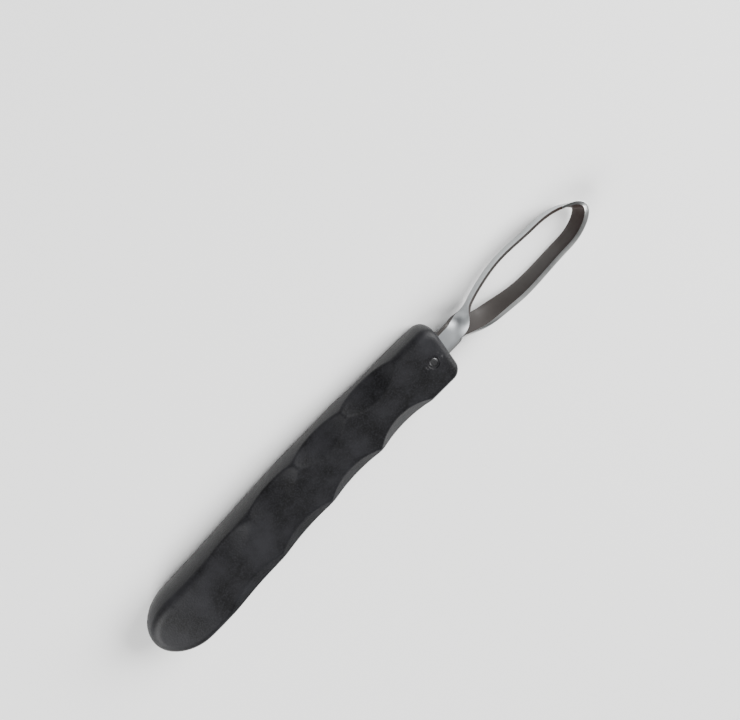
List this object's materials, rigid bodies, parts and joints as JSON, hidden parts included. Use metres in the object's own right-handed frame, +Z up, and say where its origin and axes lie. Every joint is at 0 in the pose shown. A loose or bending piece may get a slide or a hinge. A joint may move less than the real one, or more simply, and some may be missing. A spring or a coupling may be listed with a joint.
{
  "type": "hoof knife",
  "caption": "Farrier's loop knife: a twisted double-edged steel strip loop in a black moulded handle with finger scoops, held by a cross pin.",
  "frame": {"origin": "under the middle of the knife's bounding box, on the surface that it lies on", "axes": "+X along the handle towards the loop's tip, +Y towards the spine (palm side), +Z up off the broad face that it lies on"},
  "size_m": [0.1966, 0.0228, 0.0157],
  "materials": {
    "handle_plastic": "moulded, fine satin grain",
    "blade_steel": "satin ground, both edges bevelled",
    "pin_steel": "plain drawn pin, ends rounded"
  },
  "bodies": {
    "root": {"handle": "handle_plastic", "loop_blade": "blade_steel", "tang_pin": "pin_steel"}
  },
  "joints": []
}
